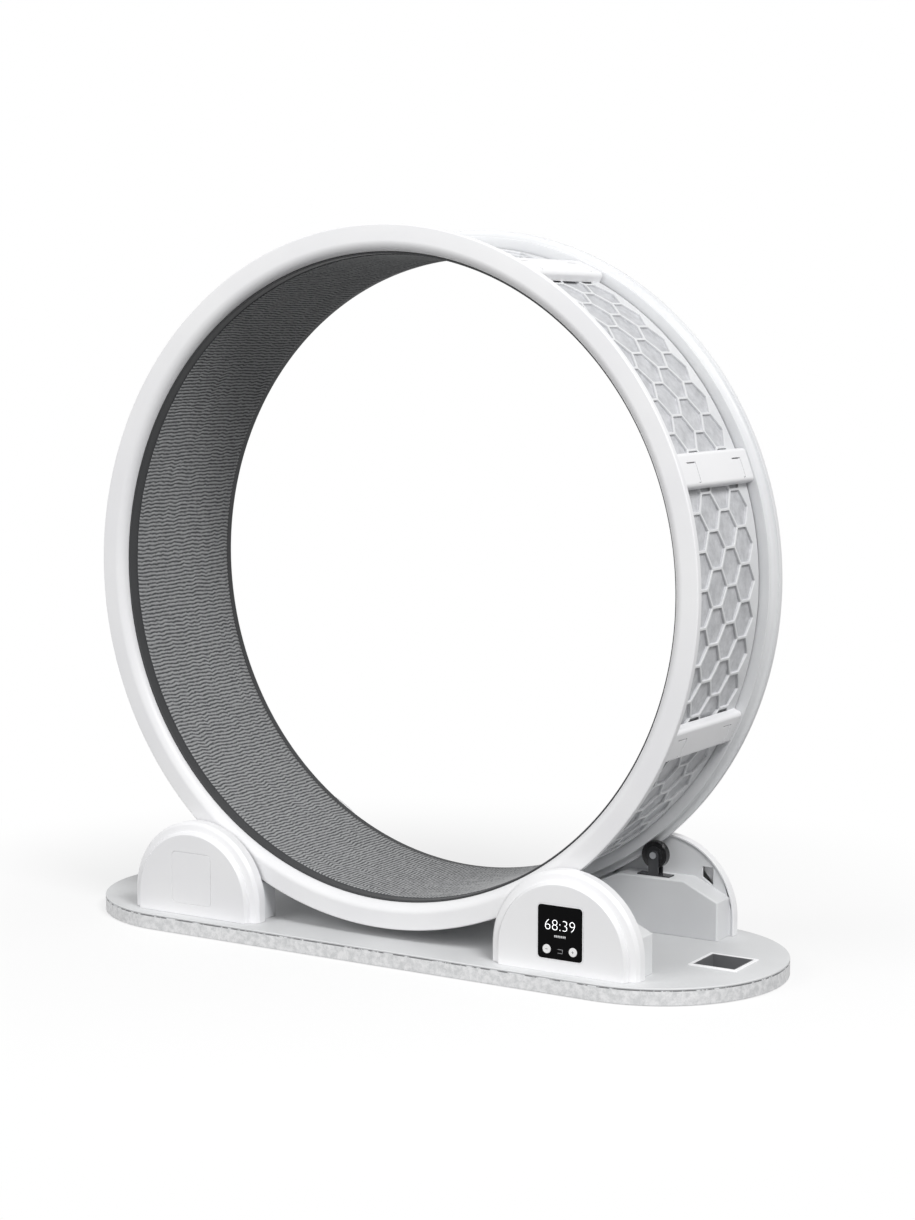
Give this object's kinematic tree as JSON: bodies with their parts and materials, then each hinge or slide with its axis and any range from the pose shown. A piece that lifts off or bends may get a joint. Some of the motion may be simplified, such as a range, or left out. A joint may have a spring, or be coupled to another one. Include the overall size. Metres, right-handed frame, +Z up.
{
  "type": "cat exercise wheel",
  "caption": "Free-standing cat exercise wheel: a carpet-lined drum with honeycomb panels turns on rollers in arched supports on an oval base with a small display.",
  "frame": {"origin": "on the floor, under the middle of the oval base", "axes": "+Z up; X along the base, with the display and the deck socket on the +X side; +Y from the display side to the rear, along the drum's axis"},
  "size_m": [1.1238, 0.379, 1.04],
  "materials": {
    "white_plastic": "satin moulded",
    "deck_plastic": "satin moulded",
    "drum_plastic": "satin moulded",
    "dark_plastic": "satin",
    "black_gloss": "gloss",
    "carpet": "ribbed pile",
    "black_rubber": "matte",
    "tyre": "satin",
    "steel": "bright",
    "circuit": "satin"
  },
  "bodies": {
    "base": {"base_tray": "deck_plastic", "base_deck": "deck_plastic", "base_feet": "black_rubber", "socket_liner": "dark_plastic", "base_screws": "steel", "roller_axles": "steel", "display_frame": "white_plastic", "display_glass": "black_gloss", "display_board": "circuit", "battery_pack": "dark_plastic", "pass_sensor": "dark_plastic", "blank_plate": "white_plastic", "support_shell_front_left": "white_plastic", "support_body_front_left": "white_plastic", "roller_bracket_front_left": "dark_plastic", "support_shell_front_right": "white_plastic", "support_body_front_right": "white_plastic", "roller_bracket_front_right": "dark_plastic", "support_shell_rear_left": "white_plastic", "support_body_rear_left": "white_plastic", "roller_bracket_rear_left": "dark_plastic", "support_shell_rear_right": "white_plastic", "support_body_rear_right": "white_plastic", "roller_bracket_rear_right": "dark_plastic"},
    "drum": {"ring_front": "white_plastic", "ring_rear": "white_plastic", "pass_magnet": "steel", "running_mat": "carpet", "edge_trim_front": "black_rubber", "edge_trim_rear": "black_rubber", "drum_panel_1": "drum_plastic", "drum_panel_2": "drum_plastic", "drum_panel_3": "drum_plastic", "drum_panel_4": "drum_plastic", "drum_panel_5": "drum_plastic", "drum_panel_6": "drum_plastic", "drum_panel_7": "drum_plastic", "drum_panel_8": "drum_plastic", "joint_cover_1": "white_plastic", "joint_cover_2": "white_plastic", "joint_cover_3": "white_plastic", "joint_cover_4": "white_plastic", "joint_cover_5": "white_plastic", "joint_cover_6": "white_plastic", "joint_cover_7": "white_plastic", "joint_cover_8": "white_plastic"},
    "roller_front_left": {"roller_tyre_front_left": "tyre", "roller_hub_front_left": "dark_plastic"},
    "roller_front_right": {"roller_tyre_front_right": "tyre", "roller_hub_front_right": "dark_plastic"},
    "roller_rear_left": {"roller_tyre_rear_left": "tyre", "roller_hub_rear_left": "dark_plastic"},
    "roller_rear_right": {"roller_tyre_rear_right": "tyre", "roller_hub_rear_right": "dark_plastic"},
    "button_left": {"display_button_left": "white_plastic"},
    "button_right": {"display_button_right": "white_plastic"}
  },
  "joints": [
    {"name": "drum_spin", "type": "hinge", "parent": "base", "child": "drum", "pos_m": [0, 0, 0.54], "axis": [0, 1, 0], "continuous": true},
    {"name": "roller_spin_front_left", "type": "hinge", "parent": "base", "child": "roller_front_left", "pos_m": [-0.31451, -0.1175, 0.13687], "axis": [0, 1, 0], "continuous": true},
    {"name": "roller_spin_front_right", "type": "hinge", "parent": "base", "child": "roller_front_right", "pos_m": [0.31451, -0.1175, 0.13687], "axis": [0, 1, 0], "continuous": true},
    {"name": "roller_spin_rear_left", "type": "hinge", "parent": "base", "child": "roller_rear_left", "pos_m": [-0.31451, 0.1175, 0.13687], "axis": [0, 1, 0], "continuous": true},
    {"name": "roller_spin_rear_right", "type": "hinge", "parent": "base", "child": "roller_rear_right", "pos_m": [0.31451, 0.1175, 0.13687], "axis": [0, 1, 0], "continuous": true},
    {"name": "button_press_left", "type": "slide", "parent": "base", "child": "button_left", "axis": [0, 1, 0], "range_m": [0, 0.0008], "stiffness_N_per_m": 400},
    {"name": "button_press_right", "type": "slide", "parent": "base", "child": "button_right", "axis": [0, 1, 0], "range_m": [0, 0.0008], "stiffness_N_per_m": 400}
  ],
  "couplings": [
    {"joint": "roller_spin_front_left", "follows": "drum_spin", "ratio": -24.55},
    {"joint": "roller_spin_front_right", "follows": "drum_spin", "ratio": -24.55},
    {"joint": "roller_spin_rear_left", "follows": "drum_spin", "ratio": -24.55},
    {"joint": "roller_spin_rear_right", "follows": "drum_spin", "ratio": -24.55}
  ]
}
